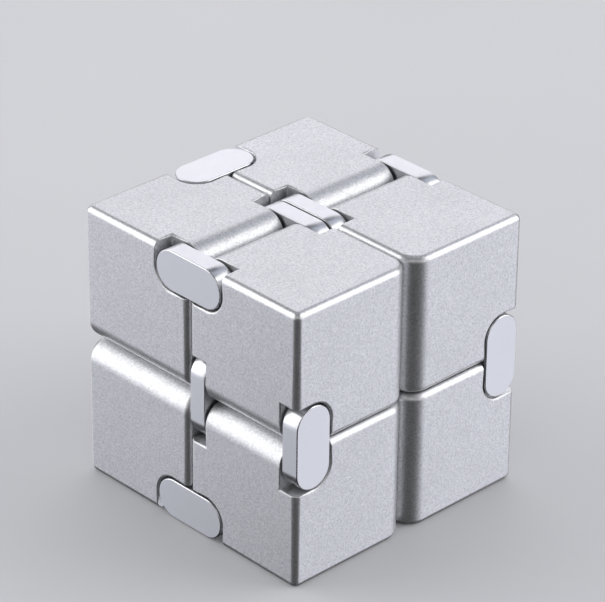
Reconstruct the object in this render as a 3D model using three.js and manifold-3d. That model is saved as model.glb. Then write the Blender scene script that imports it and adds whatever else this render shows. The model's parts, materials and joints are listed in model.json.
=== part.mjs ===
// A folding "infinity" cube: eight metal blocks joined in a ring by eight double-pivot hinges.
// Closed, the blocks make one cube. Each hinge folds its two blocks through 180 degrees, and the ring can
// be turned over and over through its flat and closed shapes.
//
// Axes: x points to the right-hand face, -y to the left-hand face and +z up, with the origin at the middle
// of the underside. A block is named by its corner: left (-x, -y), near (+x, -y), right (+x, +y) and
// back (-x, +y), at the top or the bottom.
import * as THREE from "three";
import { mergeVertices } from "three/addons/utils/BufferGeometryUtils.js";
import Module from "manifold-3d";

// Driving dimensions, in millimetres.
const SIDE = 40; // of the closed cube
const GAP = 0.3; // between neighbouring blocks, closed or folded face to face
const HINGE_RADIUS = 3; // of a block's three large rounded edges, centred on the hinge lines
const EDGE_RADIUS = 1; // of a block's other edges
const PLATE_RADIUS = 2.85; // half the width of a link plate
const PLATE_THICKNESS = 2.7;
const PLATE_CHAMFER = 0.15; // round a plate's outer face
const POCKET_CLEARANCE = 0.45; // round a link plate
const PLATE_BACK_GAP = 0.3; // between a link plate's back and its pocket's floor
const PIN_RADIUS = 1.25;
const PIN_CHAMFER = 0.25;
const PIN_GRIP = 1.6; // how far a pin goes into each plate
const PIN_FIT = 0.06; // radial clearance of a pin in a block's bore and in a plate's hole
const PIN_END_FLOAT = 0.2; // left at each end of a pin
const OPEN_PIN_INSET = 0.5; // of the opened pivot's pin, below the floors of its pockets

// Smoothness of the faceted rounds, in segments for each quarter turn.
const LARGE_ROUND_SEGMENTS = 6;
const EDGE_SEGMENTS = 2;
const POCKET_SEGMENTS = 5;
const PLATE_SEGMENTS = 5;
const PIN_SIDES = 12;

// Worked out from the driving dimensions.
const HALF = SIDE / 2;
const INNER = GAP / 2; // a block's inner faces, from the cube's middle planes
const PIVOT_IN = HALF - HINGE_RADIUS; // a pivot line, from the cube's centre
const PIVOT_OUT = INNER + HINGE_RADIUS; // the same line, from the middle plane between the two blocks
const POCKET_RADIUS = PLATE_RADIUS + POCKET_CLEARANCE;
const POCKET_DEPTH = PLATE_THICKNESS + PLATE_BACK_GAP;
const BORE_RADIUS = (PIN_RADIUS + PIN_FIT) / Math.cos(Math.PI / PIN_SIDES);
const OVERRUN = 1; // how far a cutting solid runs past the face it cuts
const SAME_POINT = 1e-4; // vertices closer than this are one
const QUARTER = Math.PI / 2;

const wasm = await Module();
wasm.setup();

const MATERIALS = {
  block: new THREE.MeshStandardMaterial({ color: 0xd0d1d6, roughness: 0.42, metalness: 1 }),
  plate: new THREE.MeshStandardMaterial({ color: 0xdadbe2, roughness: 0.2, metalness: 1 }),
  pin: new THREE.MeshStandardMaterial({ color: 0xa9abb0, roughness: 0.3, metalness: 1 }),
};

// A three.js geometry as a solid that can be joined and cut.
function solidOf(geometry) {
  const bare = geometry.clone();
  bare.deleteAttribute("normal");
  bare.deleteAttribute("uv");
  const merged = mergeVertices(bare, SAME_POINT);
  return new wasm.Manifold(
    new wasm.Mesh({
      numProp: 3,
      vertProperties: merged.attributes.position.array,
      triVerts: new Uint32Array(merged.index.array),
    }),
  );
}

function geometryOf(solid) {
  const { vertProperties, triVerts } = solid.getMesh();
  const geometry = new THREE.BufferGeometry();
  geometry.setAttribute("position", new THREE.BufferAttribute(vertProperties, 3));
  geometry.setIndex(new THREE.BufferAttribute(triVerts, 1));
  geometry.computeVertexNormals();
  return geometry;
}

// A block and its hinges are drawn looking along one axis, a, with the next two axes in order, p and q,
// across the page: a hinge line lies at p = PIVOT_IN and q = PIVOT_OUT. Turning the page's axes round
// (x to y to z to x) draws the next hinge, which is how one block's three hinge edges follow one another.
const BASES = {
  z: new THREE.Matrix4(),
  x: new THREE.Matrix4().makeBasis(
    new THREE.Vector3(0, 1, 0),
    new THREE.Vector3(0, 0, 1),
    new THREE.Vector3(1, 0, 0),
  ),
  y: new THREE.Matrix4().makeBasis(
    new THREE.Vector3(0, 0, 1),
    new THREE.Vector3(1, 0, 0),
    new THREE.Vector3(0, 1, 0),
  ),
};

// A shape on the page, as a solid from a = low to a = high.
function prism(shape, low, high, axis = "z") {
  const geometry = new THREE.ExtrudeGeometry(shape, {
    depth: high - low,
    bevelEnabled: false,
    curveSegments: 1,
  });
  geometry.translate(0, 0, low);
  geometry.applyMatrix4(BASES[axis]);
  return solidOf(geometry);
}

// Adds a round stretch to a list of points, as chords.
function arc(points, centreX, centreY, radius, from, to, segments) {
  for (let i = 0; i <= segments; i++) {
    const angle = from + ((to - from) * i) / segments;
    points.push(new THREE.Vector2(centreX + radius * Math.cos(angle), centreY + radius * Math.sin(angle)));
  }
}

// A block's outline: a square whose corner on the hinge line is the large round.
function blockOutline() {
  const points = [];
  const near = INNER + EDGE_RADIUS;
  const far = HALF - EDGE_RADIUS;
  arc(points, PIVOT_IN, PIVOT_OUT, HINGE_RADIUS, -QUARTER, 0, LARGE_ROUND_SEGMENTS);
  arc(points, far, far, EDGE_RADIUS, 0, QUARTER, EDGE_SEGMENTS);
  arc(points, near, far, EDGE_RADIUS, QUARTER, 2 * QUARTER, EDGE_SEGMENTS);
  arc(points, near, near, EDGE_RADIUS, 2 * QUARTER, 3 * QUARTER, EDGE_SEGMENTS);
  return new THREE.Shape(points);
}

// The notch that a link plate swings in, open to both of the faces that meet at the hinge edge.
function pocketOutline() {
  const points = [];
  arc(points, PIVOT_IN, PIVOT_OUT, POCKET_RADIUS, QUARTER, 2 * QUARTER, POCKET_SEGMENTS);
  points.push(new THREE.Vector2(PIVOT_IN - POCKET_RADIUS, INNER - OVERRUN));
  points.push(new THREE.Vector2(HALF + OVERRUN, INNER - OVERRUN));
  points.push(new THREE.Vector2(HALF + OVERRUN, PIVOT_OUT + POCKET_RADIUS));
  return new THREE.Shape(points);
}

function circle(x, y, radius, sides) {
  const points = [];
  for (let i = 0; i < sides; i++) {
    const angle = (4 * QUARTER * (i + 0.5)) / sides;
    points.push(new THREE.Vector2(x + radius * Math.cos(angle), y + radius * Math.sin(angle)));
  }
  return new THREE.Shape(points);
}

// One block, in the corner of positive x, y and z, with pockets and bores for its two hinges.
function blockGeometry(hingeAxes) {
  const reach = HALF + OVERRUN;
  let solid = prism(blockOutline(), -OVERRUN, reach, "x")
    .intersect(prism(blockOutline(), -OVERRUN, reach, "y"))
    .intersect(prism(blockOutline(), -OVERRUN, reach, "z"));
  for (const axis of hingeAxes) {
    solid = solid
      .subtract(prism(pocketOutline(), HALF - POCKET_DEPTH, reach, axis))
      .subtract(prism(pocketOutline(), -OVERRUN, INNER + POCKET_DEPTH, axis))
      .subtract(prism(circle(PIVOT_IN, PIVOT_OUT, BORE_RADIUS, PIN_SIDES), -OVERRUN, reach, axis));
  }
  return geometryOf(solid);
}

// A link plate's outline, drawn in from its full size by inset.
function plateOutline(inset) {
  const points = [];
  const radius = PLATE_RADIUS - inset;
  arc(points, PIVOT_IN, PIVOT_OUT, radius, 0, 2 * QUARTER, 2 * PLATE_SEGMENTS);
  arc(points, PIVOT_IN, -PIVOT_OUT, radius, 2 * QUARTER, 4 * QUARTER, 2 * PLATE_SEGMENTS);
  return points;
}

// Two stacked outlines with the same number of points, as one closed solid.
function loft(lower, lowerHeight, upper, upperHeight) {
  const rim = [
    ...lower.map((point) => [point.x, point.y, lowerHeight]),
    ...upper.map((point) => [point.x, point.y, upperHeight]),
  ];
  const count = lower.length;
  const faces = [];
  for (let i = 0; i < count; i++) {
    const next = (i + 1) % count;
    faces.push(i, next, count + next, i, count + next, count + i);
  }
  for (let i = 1; i < count - 1; i++) {
    faces.push(0, i + 1, i, count, count + i, count + i + 1);
  }
  const geometry = new THREE.BufferGeometry();
  geometry.setAttribute("position", new THREE.Float32BufferAttribute(rim.flat(), 3));
  geometry.setIndex(faces);
  return geometry;
}

// A link plate that lies flush with the blocks' far end face, with a blind hole for each pin in its back.
function plateGeometry(axis) {
  const back = HALF - PLATE_THICKNESS;
  const shoulder = HALF - PLATE_CHAMFER;
  let solid = solidOf(loft(plateOutline(0), back, plateOutline(0), shoulder))
    .add(solidOf(loft(plateOutline(0), shoulder, plateOutline(PLATE_CHAMFER), HALF)));
  for (const side of [1, -1]) {
    const hole = circle(PIVOT_IN, side * PIVOT_OUT, BORE_RADIUS, PIN_SIDES);
    solid = solid.subtract(prism(hole, back - OVERRUN, back + PIN_GRIP + PIN_END_FLOAT));
  }
  return geometryOf(solid).applyMatrix4(BASES[axis]);
}

// The same plate at the blocks' inner end face: turned over, so that its flush face is the inner one.
function innerPlateGeometry(axis) {
  const flipped = plateGeometry("z");
  flipped.translate(-PIVOT_IN, 0, -HALF);
  flipped.rotateX(2 * QUARTER);
  flipped.translate(PIVOT_IN, 0, INNER);
  return flipped.applyMatrix4(BASES[axis]);
}

// A hinge pin with chamfered ends, on the block's side of the hinge or, for side = -1, on its neighbour's.
// Grip is how far it goes into each plate; a negative one ends it short of them.
function pinGeometry(axis, side, grip) {
  const low = INNER + PLATE_THICKNESS - grip;
  const high = HALF - PLATE_THICKNESS + grip;
  const profile = [
    new THREE.Vector2(0, low),
    new THREE.Vector2(PIN_RADIUS - PIN_CHAMFER, low),
    new THREE.Vector2(PIN_RADIUS, low + PIN_CHAMFER),
    new THREE.Vector2(PIN_RADIUS, high - PIN_CHAMFER),
    new THREE.Vector2(PIN_RADIUS - PIN_CHAMFER, high),
    new THREE.Vector2(0, high),
  ];
  const geometry = new THREE.LatheGeometry(profile, PIN_SIDES);
  geometry.rotateX(QUARTER);
  geometry.translate(PIVOT_IN, side * PIVOT_OUT, 0);
  return geometry.applyMatrix4(BASES[axis]);
}

// The closed cube, centred on the origin's vertical axis and standing on z = 0.
const cube = new THREE.Group();
cube.name = "folding_cube";
const centre = new THREE.Group();
centre.position.z = HALF;
cube.add(centre);

// Adds a piece drawn in the positive corner to the corner that these signs name.
function place(name, geometry, material, signs) {
  const mirrored = geometry.clone().applyMatrix4(new THREE.Matrix4().makeScale(...signs));
  if (signs[0] * signs[1] * signs[2] < 0) {
    const index = mirrored.index.array;
    for (let i = 0; i < index.length; i += 3) {
      [index[i + 1], index[i + 2]] = [index[i + 2], index[i + 1]];
    }
  }
  mirrored.computeVertexNormals();
  const mesh = new THREE.Mesh(mirrored, material.clone());
  mesh.name = name;
  centre.add(mesh);
}

// Blocks on the left (x < 0) turn on upright hinges and those on the right (x > 0) on hinges along x.
// All of them turn on hinges along y.
const CORNERS = { left: [-1, -1], near: [1, -1], right: [1, 1], back: [-1, 1] };
const LEVELS = { top: 1, bottom: -1 };
const leftBlock = blockGeometry(["y", "z"]);
const rightBlock = blockGeometry(["y", "x"]);
for (const [level, up] of Object.entries(LEVELS)) {
  for (const [corner, [x, y]] of Object.entries(CORNERS)) {
    place(`block_${corner}_${level}`, x < 0 ? leftBlock : rightBlock, MATERIALS.block, [x, y, up]);
  }
}

// Each hinge: the axis it runs along, the signs of the corner it is drawn in, and the blocks it joins.
// The first block is the one on the side that is drawn, and the second its neighbour.
const HINGES = {
  hinge_back_top: ["y", [1, 1, 1], ["right", "back"]],
  hinge_back_bottom: ["y", [1, 1, -1], ["right", "back"]],
  hinge_front_top: ["y", [1, -1, 1], ["near", "left"]],
  hinge_front_bottom: ["y", [1, -1, -1], ["near", "left"]],
  hinge_left_top: ["z", [-1, 1, 1], ["back", "left"]],
  hinge_left_bottom: ["z", [-1, 1, -1], ["back", "left"]],
  hinge_near_side: ["x", [1, -1, 1], ["top", "bottom"]],
  hinge_right_side: ["x", [1, 1, 1], ["top", "bottom"]],
};

// The ring is opened at one pivot, so that it can be held as a tree: there, the pin stays inside its block.
const OPEN_PIVOT = "hinge_right_side_pin_bottom";

for (const [hinge, [axis, signs, [first, second]]] of Object.entries(HINGES)) {
  place(`${hinge}_outer_plate`, plateGeometry(axis), MATERIALS.plate, signs);
  place(`${hinge}_inner_plate`, innerPlateGeometry(axis), MATERIALS.plate, signs);
  for (const [side, block] of [[1, first], [-1, second]]) {
    const name = `${hinge}_pin_${block}`;
    const grip = name === OPEN_PIVOT ? -PLATE_BACK_GAP - OPEN_PIN_INSET : PIN_GRIP;
    place(name, pinGeometry(axis, side, grip), MATERIALS.pin, signs);
  }
}

export default cube;
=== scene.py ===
"""The folding infinity cube: fine meshes, materials, floor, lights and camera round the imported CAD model."""

import json
import math

import bmesh
import bpy
import numpy as np
from mathutils import Matrix, Vector


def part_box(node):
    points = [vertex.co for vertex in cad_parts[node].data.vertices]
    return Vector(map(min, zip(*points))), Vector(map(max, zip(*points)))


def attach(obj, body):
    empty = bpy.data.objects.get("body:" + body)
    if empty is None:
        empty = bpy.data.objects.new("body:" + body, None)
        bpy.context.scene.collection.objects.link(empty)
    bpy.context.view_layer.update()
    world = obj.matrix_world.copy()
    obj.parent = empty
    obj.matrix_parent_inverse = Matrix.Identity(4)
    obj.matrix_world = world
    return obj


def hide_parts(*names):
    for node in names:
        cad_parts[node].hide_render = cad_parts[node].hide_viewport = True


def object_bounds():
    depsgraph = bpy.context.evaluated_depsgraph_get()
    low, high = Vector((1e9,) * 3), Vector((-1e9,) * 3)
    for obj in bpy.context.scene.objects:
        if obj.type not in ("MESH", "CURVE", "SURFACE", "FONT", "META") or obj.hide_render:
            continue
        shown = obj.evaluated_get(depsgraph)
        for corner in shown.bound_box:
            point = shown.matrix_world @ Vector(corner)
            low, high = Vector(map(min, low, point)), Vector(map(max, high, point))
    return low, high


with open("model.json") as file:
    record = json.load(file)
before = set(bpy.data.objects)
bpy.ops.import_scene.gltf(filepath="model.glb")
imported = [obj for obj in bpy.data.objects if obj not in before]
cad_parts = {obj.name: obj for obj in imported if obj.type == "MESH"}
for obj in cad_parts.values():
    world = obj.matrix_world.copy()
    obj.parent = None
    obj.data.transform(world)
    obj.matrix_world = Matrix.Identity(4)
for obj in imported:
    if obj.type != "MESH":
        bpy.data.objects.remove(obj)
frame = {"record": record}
cad_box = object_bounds()

MM = 0.001
QUARTER = math.pi / 2

# Finish, in millimetres.
EDGE_RADIUS = 0.9  # of a block's plain edges
MOUTH_RADIUS = 0.32  # round a pocket's mouth in the block's end face
RIM_BREAK = 0.08  # of a pocket's other rims
POCKET_CLEARANCE = 0.28  # round a link plate
PLATE_BACK_GAP = 0.3  # behind a link plate
PLATE_EDGE = 0.14  # radius round a plate's outer face
PLATE_BACK_EDGE = 0.1  # radius round its back
PIN_FIT = 0.06  # round a pin in its bore
PIN_GRIP = 1.6  # of a pin's end in a plate
PIN_END_FLOAT = 0.2  # past a pin's end in the plate's blind hole
PIN_END_RADIUS = 0.3
WEAR_AND_HIGHLIGHT_START = 0.15  # how far in from a block's side the burnish and the painted edge highlight begin to fade
WEAR_AND_HIGHLIGHT_MARGIN = 0.02  # by which a plate's burnish and painted rim highlight reach past its rounded edge

# Smoothness, in segments for each quarter turn.
LARGE_SEGMENTS = 14
EDGE_SEGMENTS = 4
MOUTH_SEGMENTS = 3
RIM_SEGMENTS = 1
POCKET_SEGMENTS = 16
PLATE_SEGMENTS = 24
PLATE_EDGE_SEGMENTS = 5
PLATE_BACK_SEGMENTS = 3
PIN_END_SEGMENTS = 5

# Smoothness, in sides for a whole turn.
BORE_SIDES = 40
PIN_SIDES = 48

# Mesh building, in millimetres and degrees.
CUT_MARGIN = 1  # by which a cutter reaches past what it cuts
WELD = 1e-4  # points no further apart than this are one
FLAT_ANGLE = 0.2  # faces that meet at less than this are one flat face
FOLD_ANGLE = 40  # edges sharper than this are rounded
SHADING_ANGLE = 38  # edges sharper than this are shaded as edges
NORMAL_WEIGHT = 60  # how far large faces flatten the shading of small ones

# Colours: red, green, blue and alpha.
BLOCK_DARK = (0.66, 0.663, 0.688, 1)
BLOCK_LIGHT = (0.90, 0.902, 0.922, 1)
# Lightest grain cells, painted as glints.
BLOCK_GLINT = (0.97, 0.972, 0.985, 1)
# Darkest grain cells, painted as shade in pits.
BLOCK_PIT_SHADE = (0.47, 0.473, 0.5, 1)
BLOCK_DRIFT = (0.70, 0.705, 0.73, 1)
# Edge colour: lighter for burnish, and as a painted highlight on the fillets.
BLOCK_WORN_HIGHLIGHT = (0.93, 0.93, 0.945, 1)
PLATE_DARK = (0.75, 0.76, 0.79, 1)
PLATE_LIGHT = (0.795, 0.803, 0.83, 1)
# Painted glints on the plates.
PLATE_GLINT = (0.88, 0.885, 0.905, 1)
# Rim colour: lighter for burnish, and as a painted highlight round the outer face.
PLATE_WORN_HIGHLIGHT = (0.9, 0.905, 0.92, 1)
PIN_DARK = (0.50, 0.505, 0.515, 1)
PIN_LIGHT = (0.63, 0.635, 0.645, 1)
FLOOR_DARK = (0.55, 0.55, 0.565, 1)
FLOOR_LIGHT = (0.575, 0.575, 0.59, 1)
AIR_COLOUR = (0.9, 0.905, 0.93, 1)

# Light tints.
WHITE = (1, 1, 1)
COOL = (0.96, 0.975, 1.06)
FAINT_PINK = (0.985, 0.98, 1.03)
SKY = (0.86, 0.93, 1.12)
PALE_SKY = (0.92, 0.96, 1.06)

# Softboxes: name, azimuth and elevation in degrees, then distance, width, height (metres), brightness, tint.
SOFTBOXES = (
    ("back", 138, 27, 1.0, 1.2, 0.62, 1.24, FAINT_PINK),
    ("back_low", 138, -26, 1.0, 1.3, 0.6, 0.6, WHITE),
    ("right_back", 88, 53, 1.0, 0.32, 0.36, 0.72, SKY),
    ("right_high", 48, 24, 1.0, 0.75, 1.12, 2.1, WHITE),
    ("right_low", 46, -28, 1.0, 1.0, 0.62, 0.9, COOL),
    ("left_high", -142, 19, 1.0, 0.9, 1.08, 1.9, WHITE),
    ("left_low", -150, -21, 1.0, 1.4, 0.56, 0.72, COOL),
    ("front_right", 7, 11, 1.0, 0.6, 0.6, 0.75, WHITE),
    ("front_left", -97, 11, 1.0, 0.6, 0.6, 0.75, WHITE),
    ("front_high", -45, 32, 1.0, 0.9, 0.6, 0.6, WHITE),
    ("overhead", 136, 86, 1.2, 0.8, 0.8, 0.42, PALE_SKY),
)

# Air light: a little for every ray, and more for some.
AIR_STRENGTH = 0.015
AIR_EXTRAS = (("Is Diffuse Ray", 0.57), ("Is Camera Ray", 0.6))

# Floor, in metres.
FLOOR_HALF_SIDE = 1.3
FLOOR_CELLS = 24

# Camera: millimetres, degrees and metres.
SENSOR_WIDTH = 36
LENS = 204.07
CLIP_START = 0.02
AIM_FROM_CENTRE = (-1.955, 1.919, 4.935)
CAMERA_AZIMUTH = -43.889
CAMERA_ELEVATION = 29.032
CAMERA_ROLL = 0.638
CAMERA_DISTANCE = 0.45146


# ---------------------------------------------------------------- sizes from the frame, in millimetres


def node_box(node):
    low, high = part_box(node)
    return np.array(low) / MM, np.array(high) / MM


def node_centre(node):
    low, high = node_box(node)
    return (low + high) / 2


def node_sides(node):
    """The node's three sides, from the shortest to the longest."""
    low, high = node_box(node)
    return sorted(float(side) for side in high - low)


CUBE_LOW, CUBE_HIGH = (np.array(corner) / MM for corner in cad_box)
CENTRE = (CUBE_LOW + CUBE_HIGH) / 2
HALF = float(CUBE_HIGH[0] - CENTRE[0])
INNER = float(node_box("block_near_top")[0][0] - CENTRE[0])
PLATE_THICKNESS, PLATE_WIDTH, PLATE_LENGTH = node_sides("hinge_front_top_outer_plate")
PLATE_RADIUS = PLATE_WIDTH / 2
PIVOT_OUT = (PLATE_LENGTH - PLATE_WIDTH) / 2
HINGE_RADIUS = PIVOT_OUT - INNER
PIVOT_IN = HALF - HINGE_RADIUS
POCKET_RADIUS = PLATE_RADIUS + POCKET_CLEARANCE
POCKET_DEPTH = PLATE_THICKNESS + PLATE_BACK_GAP
PIN_RADIUS = node_sides("hinge_front_top_pin_near")[0] / 2
BORE_RADIUS = PIN_RADIUS + PIN_FIT


# ---------------------------------------------------------------- materials


def put(tree, socket, value):
    """Gives a socket a value, or links another socket to it."""
    if isinstance(value, bpy.types.NodeSocket):
        tree.links.new(value, socket)
    else:
        socket.default_value = value


class Nodes:
    """A material's node tree, with short calls for adding to it."""

    def __init__(self, name):
        self.material = bpy.data.materials.new(name)
        self.material.use_nodes = True
        self.tree = self.material.node_tree
        self.shader = self.tree.nodes["Principled BSDF"]
        self.coordinates = self.tree.nodes.new("ShaderNodeTexCoord").outputs["Object"]

    def add(self, kind, values=None, **settings):
        node = self.tree.nodes.new("ShaderNode" + kind)
        for key, value in settings.items():
            setattr(node, key, value)
        for key, value in (values or {}).items():
            put(self.tree, node.inputs[key], value)
        return node

    def noise(self, scale, detail, roughness, vector=None):
        values = {"Scale": scale, "Detail": detail, "Roughness": roughness}
        values["Vector"] = vector or self.coordinates
        return self.add("TexNoise", values).outputs["Fac"]

    def glint_and_pit_cells(self, scale):
        """Small cells, each of its own value: a height for bumps, and a mask for painted glints and painted
        shade in pits.
        """
        values = {"Vector": self.coordinates, "Scale": scale}
        return self.add("TexVoronoi", values, feature="F1").outputs["Color"]

    def stretched(self, scale, rotation):
        values = {"Vector": self.coordinates, "Scale": scale, "Rotation": rotation}
        return self.add("Mapping", values).outputs["Vector"]

    def attribute(self, name):
        return self.add("Attribute", attribute_name=name).outputs["Fac"]

    def math(self, operation, a, b, clamp=False):
        return self.add("Math", {0: a, 1: b}, operation=operation, use_clamp=clamp).outputs[0]

    def remap(self, value, source, target):
        values = {
            "Value": value,
            "From Min": source[0],
            "From Max": source[1],
            "To Min": target[0],
            "To Max": target[1],
        }
        return self.add("MapRange", values).outputs["Result"]

    def mix(self, factor, a, b):
        return self.add("Mix", {0: factor, 6: a, 7: b}, data_type="RGBA").outputs[2]

    def bump(self, height, strength, distance, normal=None):
        values = {"Height": height, "Strength": strength, "Distance": distance}
        if normal:
            values["Normal"] = normal
        return self.add("Bump", values).outputs["Normal"]

    def surface(self, **values):
        """The finished material, with the shader's inputs set by name."""
        for name, value in values.items():
            put(self.tree, self.shader.inputs[name.replace("_", " ")], value)
        return self.material


def block_material():
    """Bead-blasted, clear-anodised aluminium: fine grain with painted glints and painted shade in its pits, a
    slow drift in tone, edges burnished and lightened as a painted highlight.
    """
    nodes = Nodes("blasted_aluminium")
    wear_and_highlight = nodes.attribute("wear_and_highlight")
    grain = nodes.noise(scale=3600, detail=3.0, roughness=0.7)
    glint_and_pit_cells = nodes.glint_and_pit_cells(scale=5600)
    drift = nodes.noise(scale=95, detail=3.0, roughness=0.5)
    base = nodes.mix(nodes.remap(grain, (0.32, 0.68), (0, 1)), BLOCK_DARK, BLOCK_LIGHT)
    # Painted glints on the lightest cells, and painted shade on the darkest.
    base = nodes.mix(nodes.remap(glint_and_pit_cells, (0.55, 0.85), (0, 0.6)), base, BLOCK_GLINT)
    base = nodes.mix(nodes.remap(glint_and_pit_cells, (0.4, 0.15), (0, 0.33)), base, BLOCK_PIT_SHADE)
    base = nodes.mix(nodes.remap(drift, (0.3, 0.7), (0, 0.12)), base, BLOCK_DRIFT)
    # Edges lighter: burnish, and a painted highlight on the fillets.
    base = nodes.mix(nodes.math("MULTIPLY", wear_and_highlight, 0.4), base, BLOCK_WORN_HIGHLIGHT)
    rough = nodes.remap(grain, (0.3, 0.7), (0.46, 0.39))
    rough = nodes.math("ADD", rough, nodes.remap(drift, (0.3, 0.7), (-0.015, 0.02)))
    rough = nodes.math("SUBTRACT", rough, nodes.math("MULTIPLY", wear_and_highlight, 0.04), clamp=True)
    normal = nodes.bump(grain, strength=0.5, distance=0.00002)
    normal = nodes.bump(glint_and_pit_cells, strength=0.3, distance=0.00001, normal=normal)
    return nodes.surface(Base_Color=base, Metallic=0.93, Roughness=rough, Normal=normal)


def plate_material():
    """Satin-polished aluminium: faint straight polishing marks, fine painted glints, edges lightened as
    burnish and as a painted highlight.
    """
    nodes = Nodes("satin_aluminium")
    wear_and_highlight = nodes.attribute("wear_and_highlight")
    haze = nodes.noise(scale=160, detail=3.0, roughness=0.5)
    fine = nodes.noise(scale=5200, detail=2.0, roughness=0.5)
    marks = nodes.noise(
        scale=900,
        detail=3.0,
        roughness=0.6,
        vector=nodes.stretched(scale=(1, 1, 7), rotation=(0.5, 0.35, 0.2)),
    )
    base = nodes.mix(nodes.remap(haze, (0.3, 0.7), (0, 1)), PLATE_DARK, PLATE_LIGHT)
    # Painted glints, from the fine noise.
    base = nodes.mix(nodes.remap(fine, (0.4, 0.7), (0, 0.25)), base, PLATE_GLINT)
    # Rim lighter: burnish, and a painted highlight.
    base = nodes.mix(nodes.math("MULTIPLY", wear_and_highlight, 0.3), base, PLATE_WORN_HIGHLIGHT)
    rough = nodes.remap(marks, (0.3, 0.7), (0.29, 0.35))
    rough = nodes.math("ADD", rough, nodes.remap(haze, (0.3, 0.7), (-0.02, 0.02)))
    rough = nodes.math("SUBTRACT", rough, nodes.math("MULTIPLY", wear_and_highlight, 0.06), clamp=True)
    normal = nodes.bump(fine, strength=0.2, distance=0.000006)
    normal = nodes.bump(marks, strength=0.12, distance=0.000008, normal=normal)
    return nodes.surface(Base_Color=base, Metallic=1.0, Roughness=rough, Normal=normal)


def pin_material():
    """Ground steel: fine grinding marks and a slight change in tone."""
    nodes = Nodes("ground_steel")
    marks = nodes.noise(scale=3000, detail=2.0, roughness=0.5)
    tone = nodes.noise(scale=400, detail=3.0, roughness=0.5)
    base = nodes.mix(nodes.remap(tone, (0.3, 0.7), (0, 1)), PIN_DARK, PIN_LIGHT)
    rough = nodes.remap(marks, (0.3, 0.7), (0.24, 0.36))
    normal = nodes.bump(marks, strength=0.2, distance=0.000006)
    return nodes.surface(Base_Color=base, Metallic=1.0, Roughness=rough, Normal=normal)


def floor_material():
    """A plain pale matt surface."""
    nodes = Nodes("pale_floor")
    tone = nodes.noise(scale=9, detail=3.0, roughness=0.5)
    base = nodes.mix(nodes.remap(tone, (0.3, 0.7), (0, 1)), FLOOR_DARK, FLOOR_LIGHT)
    rough = nodes.remap(tone, (0.3, 0.7), (0.62, 0.7))
    return nodes.surface(Base_Color=base, Roughness=rough)


# ---------------------------------------------------------------- mesh building, in millimetres


def to_page(axis, p, q, a):
    """A point drawn looking along one axis, with the next two axes in order across the page."""
    return {"z": (p, q, a), "x": (a, p, q), "y": (q, a, p)}[axis]


def quarter_turn(segments):
    """The angles from nothing to a quarter turn."""
    return [QUARTER * i / segments for i in range(segments + 1)]


def arc(centre, radius, start, end, segments):
    angles = [start + (end - start) * i / segments for i in range(segments + 1)]
    return [(centre[0] + radius * math.cos(t), centre[1] + radius * math.sin(t)) for t in angles]


def circle(centre, radius, sides):
    return arc(centre, radius, 0, 4 * QUARTER * (sides - 1) / sides, sides - 1)


def new_object(name, data):
    made = bpy.data.objects.new(name, data)
    bpy.context.scene.collection.objects.link(made)
    return made


def mesh_of(made, name):
    mesh = bpy.data.meshes.new(name)
    bmesh.ops.recalc_face_normals(made, faces=made.faces)
    made.to_mesh(mesh)
    made.free()
    return mesh


def skin(made, rings):
    """Joins each ring of vertices to the next one, and closes both ends."""
    count = len(rings[0])
    for lower, upper in zip(rings, rings[1:]):
        for i in range(count):
            after = (i + 1) % count
            made.faces.new((lower[i], lower[after], upper[after], upper[i]))
    made.faces.new(rings[0][::-1])
    made.faces.new(rings[-1])


def prism(made, outline, low, high, axis):
    """Adds a prism to a bmesh, from a = low to a = high."""
    rings = [[made.verts.new(to_page(axis, p, q, a)) for p, q in outline] for a in (low, high)]
    skin(made, rings)


def weld(made):
    bmesh.ops.remove_doubles(made, verts=made.verts, dist=WELD)


def near(a, b):
    return abs(a - b) < WELD


def folded_edges(made):
    """The edges that are to be rounded."""
    limit = math.radians(FOLD_ANGLE)
    return [edge for edge in made.edges if edge.is_manifold and edge.calc_face_angle() > limit]


def rounded(made, edges, radius, segments):
    bmesh.ops.bevel(
        made,
        geom=edges,
        offset=radius,
        offset_type="OFFSET",
        segments=segments,
        profile=0.5,
        affect="EDGES",
        clamp_overlap=False,
        loop_slide=True,
    )


def carved(mesh, cutters):
    """The mesh with each bmesh in cutters taken out of it."""
    target = new_object("carved", mesh)
    tools = [new_object("cutter", mesh_of(made, "cutter")) for made in cutters]
    for tool in tools:
        modifier = target.modifiers.new("cut", "BOOLEAN")
        modifier.operation = "DIFFERENCE"
        modifier.solver = "EXACT"
        modifier.object = tool
    graph = bpy.context.evaluated_depsgraph_get()
    result = bpy.data.meshes.new_from_object(target.evaluated_get(graph))
    for used in (target, *tools):
        bpy.data.objects.remove(used)
    return result


# ---------------------------------------------------------------- blocks, in the all-positive corner


def block_body():
    """A block before its pockets: three large rounds, and small fillets elsewhere."""
    made = bmesh.new()
    prism(made, [(INNER, INNER), (HALF, INNER), (HALF, HALF), (INNER, HALF)], INNER, HALF, "z")
    large = []
    for edge in made.edges:
        middle = (edge.verts[0].co + edge.verts[1].co) / 2
        for axis in "xyz":
            spot = to_page(axis, HALF, INNER, (HALF + INNER) / 2)
            if (middle - Vector(spot)).length < WELD:
                large.append(edge)
    rounded(made, large, HINGE_RADIUS, LARGE_SEGMENTS)
    bmesh.ops.recalc_face_normals(made, faces=made.faces)
    rounded(made, folded_edges(made), EDGE_RADIUS, EDGE_SEGMENTS)
    return mesh_of(made, "block_body")


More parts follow.
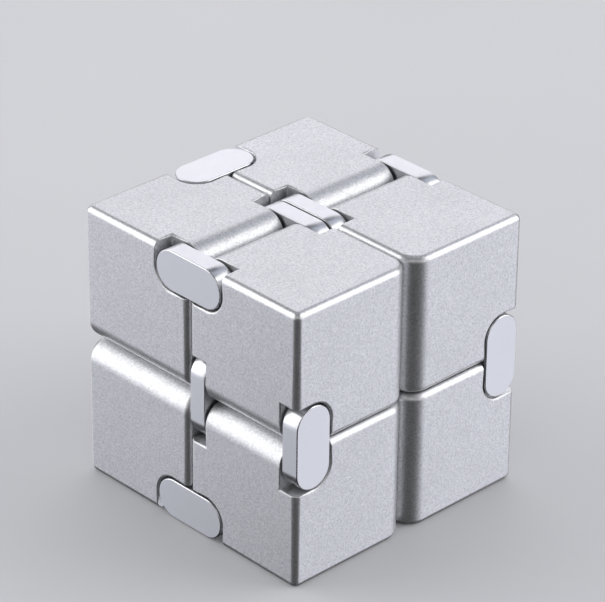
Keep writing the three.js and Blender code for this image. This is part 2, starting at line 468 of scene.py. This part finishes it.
def pocket_outline():
    """A link plate's room in one block, open towards the next block and towards the outside."""
    return [
        *arc((PIVOT_IN, PIVOT_OUT), POCKET_RADIUS, QUARTER, 2 * QUARTER, POCKET_SEGMENTS),
        (PIVOT_IN - POCKET_RADIUS, INNER - CUT_MARGIN),
        (HALF + CUT_MARGIN, INNER - CUT_MARGIN),
        (HALF + CUT_MARGIN, PIVOT_OUT + POCKET_RADIUS),
    ]


def in_mouth(edge, hinge_axes):
    """Whether an edge lies in an end face of the block, round the mouth of one of its pockets."""
    for axis in hinge_axes:
        first, second = (vert.co["xyz".index(axis)] for vert in edge.verts)
        if near(first, second) and (near(first, HALF) or near(first, INNER)):
            return True
    return False


def block_mesh(hinge_axes):
    """A whole block, with its pockets, bores and broken rims."""
    pockets, bores = bmesh.new(), bmesh.new()
    for axis in hinge_axes:
        prism(pockets, pocket_outline(), HALF - POCKET_DEPTH, HALF + CUT_MARGIN, axis)
        prism(pockets, pocket_outline(), INNER - CUT_MARGIN, INNER + POCKET_DEPTH, axis)
        bore = circle((PIVOT_IN, PIVOT_OUT), BORE_RADIUS, BORE_SIDES)
        prism(bores, bore, INNER + CUT_MARGIN, HALF - CUT_MARGIN, axis)
    made = bmesh.new()
    made.from_mesh(carved(block_body(), (pockets, bores)))
    weld(made)
    flat = math.radians(FLAT_ANGLE)
    bmesh.ops.dissolve_limit(made, angle_limit=flat, verts=made.verts, edges=made.edges)
    mouth = [edge for edge in folded_edges(made) if in_mouth(edge, hinge_axes)]
    rounded(made, mouth, MOUTH_RADIUS, MOUTH_SEGMENTS)
    weld(made)
    rounded(made, folded_edges(made), RIM_BREAK, RIM_SEGMENTS)
    weld(made)
    return mesh_of(made, "block")


# ---------------------------------------------------------------- plates and pins, centred on the origin


def obround(radius, height):
    """A level ring round both of a plate's pivots."""
    right = arc((PIVOT_OUT, 0), radius, -QUARTER, QUARTER, 2 * PLATE_SEGMENTS)
    left = arc((-PIVOT_OUT, 0), radius, QUARTER, 3 * QUARTER, 2 * PLATE_SEGMENTS)
    return [(x, y, height) for x, y in right + left]


def plate_mesh():
    """A link plate: long along x, its outer face up, with blind pin holes in its back."""
    half = PLATE_THICKNESS / 2
    levels = []
    for t in quarter_turn(PLATE_BACK_SEGMENTS):
        rise = PLATE_BACK_EDGE * (1 - math.cos(t))
        levels.append((PLATE_RADIUS - PLATE_BACK_EDGE * (1 - math.sin(t)), rise - half))
    levels.append((PLATE_RADIUS, 0))
    for t in quarter_turn(PLATE_EDGE_SEGMENTS):
        drop = PLATE_EDGE * (1 - math.sin(t))
        levels.append((PLATE_RADIUS - PLATE_EDGE * (1 - math.cos(t)), half - drop))
    made = bmesh.new()
    skin(made, [[made.verts.new(point) for point in obround(*level)] for level in levels])
    holes = bmesh.new()
    for side in (1, -1):
        hole = circle((side * PIVOT_OUT, 0), BORE_RADIUS, BORE_SIDES)
        prism(holes, hole, -half - CUT_MARGIN, -half + PIN_GRIP + PIN_END_FLOAT, "z")
    return carved(mesh_of(made, "plate"), (holes,))


def pin_mesh(length):
    """A ground pin along z, with rounded ends."""
    half = length / 2
    profile = []
    for t in quarter_turn(PIN_END_SEGMENTS):
        radius = PIN_RADIUS - PIN_END_RADIUS * (1 - math.sin(t))
        profile.append((radius, PIN_END_RADIUS * (1 - math.cos(t)) - half))
    profile += [(radius, -height) for radius, height in reversed(profile)]
    made = bmesh.new()
    rings = []
    for radius, height in profile:
        rings.append([made.verts.new((x, y, height)) for x, y in circle((0, 0), radius, PIN_SIDES)])
    skin(made, rings)
    return mesh_of(made, "pin")


# ---------------------------------------------------------------- wear and painted highlights on the edges


def smoothstep(low, high, value):
    t = np.clip((value - low) / (high - low), 0, 1)
    return t * t * (3 - 2 * t)


def set_wear_and_highlight(mesh, values):
    layer = mesh.attributes.new("wear_and_highlight", "FLOAT", "POINT")
    layer.data.foreach_set("value", np.asarray(values, dtype=np.float32))


def points_of(mesh):
    found = np.empty(len(mesh.vertices) * 3, dtype=np.float32)
    mesh.vertices.foreach_get("co", found)
    return found.reshape(-1, 3)


def block_wear_and_highlight(mesh):
    """Burnish and painted highlight, most along the small fillets, where two of a block's sides are close."""
    points = points_of(mesh)
    away = np.sort(np.minimum(points - INNER, HALF - points), axis=1)
    set_wear_and_highlight(mesh, 1 - smoothstep(WEAR_AND_HIGHLIGHT_START, EDGE_RADIUS, away[:, 1]))


def plate_wear_and_highlight(mesh):
    """Burnish and painted highlight, most round the rim of the outer face."""
    points = points_of(mesh)
    across = np.hypot(np.maximum(np.abs(points[:, 0]) - PIVOT_OUT, 0), points[:, 1])
    edge = np.array([PLATE_EDGE + WEAR_AND_HIGHLIGHT_MARGIN, PLATE_EDGE / 2])
    rim = smoothstep(*(PLATE_RADIUS - edge), across)
    up = smoothstep(*(PLATE_THICKNESS / 2 - edge), points[:, 2])
    set_wear_and_highlight(mesh, rim * up)


# ---------------------------------------------------------------- placing the pieces


def place(node, body, mesh, transform, material):
    """A copy of a mesh, moved from millimetres into the frame, standing for a CAD node."""
    copy = mesh.copy()
    copy.name = node + "_mesh"
    copy.transform(Matrix.Scale(MM, 4) @ transform)
    if transform.determinant() < 0:
        copy.flip_normals()
    copy.materials.clear()
    copy.materials.append(material)
    copy.polygons.foreach_set("use_smooth", [True] * len(copy.polygons))
    copy.set_sharp_from_angle(angle=math.radians(SHADING_ANGLE))
    copy.update()
    piece = new_object(node + "_fine", copy)
    weighted = piece.modifiers.new("weighted_normals", "WEIGHTED_NORMAL")
    weighted.keep_sharp = True
    weighted.weight = NORMAL_WEIGHT
    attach(piece, body)
    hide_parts(node)


def block_transform(node):
    """Mirrors the block into the node's own corner of the cube."""
    signs = np.sign(node_centre(node) - CENTRE)
    return Matrix.Translation(CENTRE) @ Matrix.Diagonal((*signs, 1.0))


def axis_order(node):
    """The node's axes from its longest side to its shortest."""
    low, high = node_box(node)
    return list(np.argsort(low - high))


def plate_transform(node):
    """Turns the plate so that its outer face looks away from the middle of the block it lies in."""
    along, across, through = axis_order(node)
    centre = node_centre(node)
    offset = centre[through] - CENTRE[through]
    facing = math.copysign(1, offset) * (1 if abs(offset) > HALF / 2 else -1)
    columns = np.zeros((4, 4))
    columns[along, 0] = 1
    columns[across, 1] = 1
    columns[through, 2] = facing
    columns[3, 3] = 1
    return Matrix.Translation(centre) @ Matrix(columns.tolist())


def pin_transform(node):
    along = axis_order(node)[0]
    turn = {0: Matrix.Rotation(QUARTER, 4, "Y"), 1: Matrix.Rotation(QUARTER, 4, "X"), 2: Matrix.Identity(4)}
    return Matrix.Translation(node_centre(node)) @ turn[along]


def build_cube():
    """The left and back blocks hinge along y and z, and the near and right blocks along y and x."""
    slots = {row["node"]: row["material_slot"] for row in frame["record"]["subparts"]}
    materials = {
        "block_aluminium": block_material(),
        "plate_aluminium": plate_material(),
        "pin_steel": pin_material(),
    }
    left_block, right_block, plate = block_mesh("yz"), block_mesh("yx"), plate_mesh()
    block_wear_and_highlight(left_block)
    block_wear_and_highlight(right_block)
    plate_wear_and_highlight(plate)
    for body, nodes in frame["record"]["behaviour"]["bodies"].items():
        for node in nodes:
            slot = slots[node]
            if slot == "block_aluminium":
                mesh = left_block if node_centre(node)[0] < CENTRE[0] else right_block
                transform = block_transform(node)
            elif slot == "plate_aluminium":
                mesh = plate
                transform = plate_transform(node)
            else:
                mesh = pin_mesh(node_sides(node)[-1])
                transform = pin_transform(node)
            place(node, body, mesh, transform, materials[slot])


# ---------------------------------------------------------------- stage, light and camera


def direction(azimuth, elevation):
    """A unit vector. Azimuth turns from +x towards +y, in degrees."""
    turn, rise = math.radians(azimuth), math.radians(elevation)
    return Vector((math.cos(rise) * math.cos(turn), math.cos(rise) * math.sin(turn), math.sin(rise)))


def build_floor():
    made = bmesh.new()
    bmesh.ops.create_grid(made, x_segments=FLOOR_CELLS, y_segments=FLOOR_CELLS, size=FLOOR_HALF_SIDE)
    for vert in made.verts:
        vert.co.z = float(CUBE_LOW[2]) * MM
    mesh = mesh_of(made, "floor")
    if mesh.polygons[0].normal.z < 0:
        mesh.flip_normals()
    mesh.materials.append(floor_material())
    floor = new_object("floor", mesh)
    floor.visible_glossy = False
    floor.visible_shadow = False


def softbox(name, azimuth, elevation, distance, width, height, brightness, tint):
    """An area light of a given brightness (radiance), facing the middle of the cube."""
    light = bpy.data.lights.new(name, "AREA")
    light.shape = "RECTANGLE"
    light.size = width
    light.size_y = height
    light.energy = brightness * math.pi * width * height
    light.color = tint
    lamp = bpy.data.objects.new(name, light)
    centre = Vector(CENTRE) * MM
    lamp.location = centre + direction(azimuth, elevation) * distance
    lamp.rotation_euler = (lamp.location - centre).to_track_quat("Z", "Y").to_euler()
    bpy.context.scene.collection.objects.link(lamp)
    lamp.visible_camera = False


def build_world():
    """Even air light on matt surfaces, hardly any in reflections, and a pale backdrop."""
    world = bpy.data.worlds.new("studio")
    bpy.context.scene.world = world
    world.use_nodes = True
    tree = world.node_tree
    background = tree.nodes["Background"]
    background.inputs["Color"].default_value = AIR_COLOUR
    ray = tree.nodes.new("ShaderNodeLightPath")
    strength = AIR_STRENGTH
    for kind, extra in AIR_EXTRAS:
        added = tree.nodes.new("ShaderNodeMath")
        added.operation = "MULTIPLY_ADD"
        for socket, value in zip(added.inputs, (ray.outputs[kind], extra, strength)):
            put(tree, socket, value)
        strength = added.outputs[0]
    put(tree, background.inputs["Strength"], strength)


def build_camera():
    """A long lens, looking down on the cube's near corner."""
    data = bpy.data.cameras.new("camera")
    data.sensor_width = SENSOR_WIDTH
    data.lens = LENS
    data.clip_start = CLIP_START
    camera = new_object("camera", data)
    aim = (Vector(CENTRE) + Vector(AIM_FROM_CENTRE)) * MM
    back = direction(CAMERA_AZIMUTH, CAMERA_ELEVATION)
    camera.location = aim + back * CAMERA_DISTANCE
    level = back.to_track_quat("Z", "Y").to_matrix().to_4x4()
    roll = Matrix.Rotation(math.radians(CAMERA_ROLL), 4, "Z")
    camera.rotation_euler = (level @ roll).to_euler()
    bpy.context.scene.camera = camera


build_cube()
build_floor()
for row in SOFTBOXES:
    softbox(*row)
build_world()
build_camera()
bpy.context.scene.view_settings.view_transform = "Standard"
